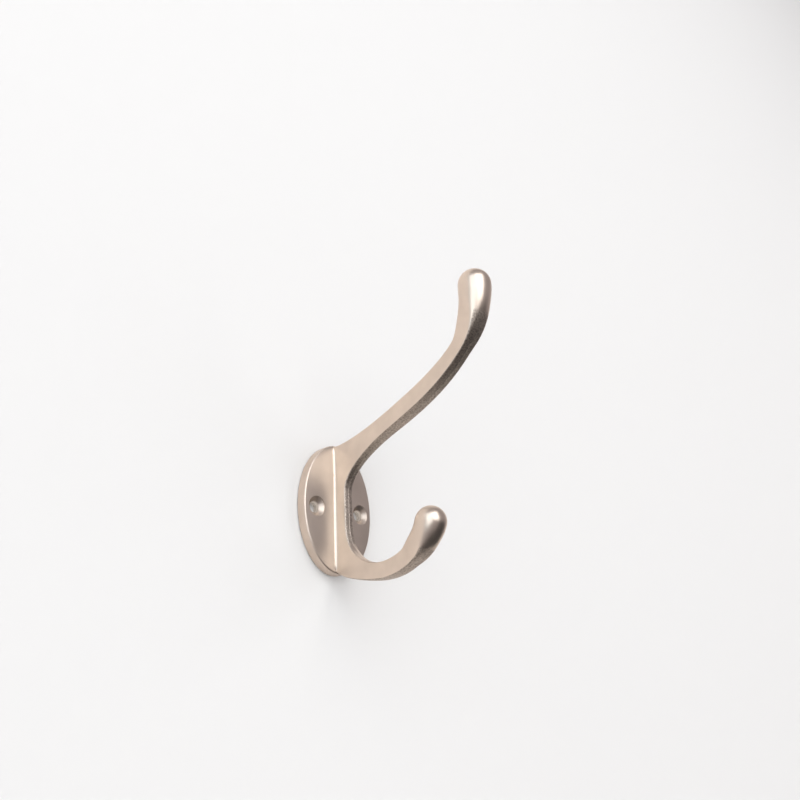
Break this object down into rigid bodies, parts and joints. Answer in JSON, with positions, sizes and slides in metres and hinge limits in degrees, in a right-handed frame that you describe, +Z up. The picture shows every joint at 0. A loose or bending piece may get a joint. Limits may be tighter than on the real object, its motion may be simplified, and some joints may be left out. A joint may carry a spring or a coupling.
{
  "type": "double prong hat and coat hook",
  "caption": "Cast satin-nickel hat and coat hook: oval back plate with countersunk screw holes, a long upper prong and a short lower prong, both ending in round knobs.",
  "frame": {"origin": "middle of the oval back plate, on its back face, which lies on the wall", "axes": "+Y into the wall, +Z up, +X to the right as seen from the room; the prongs reach out along -Y"},
  "size_m": [0.0334, 0.0837, 0.1016],
  "materials": {
    "nickel": "satin nickel plate over a fine cast grain",
    "zinc_steel": "bright zinc plated"
  },
  "bodies": {
    "root": {"back_plate": "nickel", "hook_arm": "nickel", "arm_screw_upper": "zinc_steel", "arm_screw_lower": "zinc_steel"}
  },
  "joints": []
}
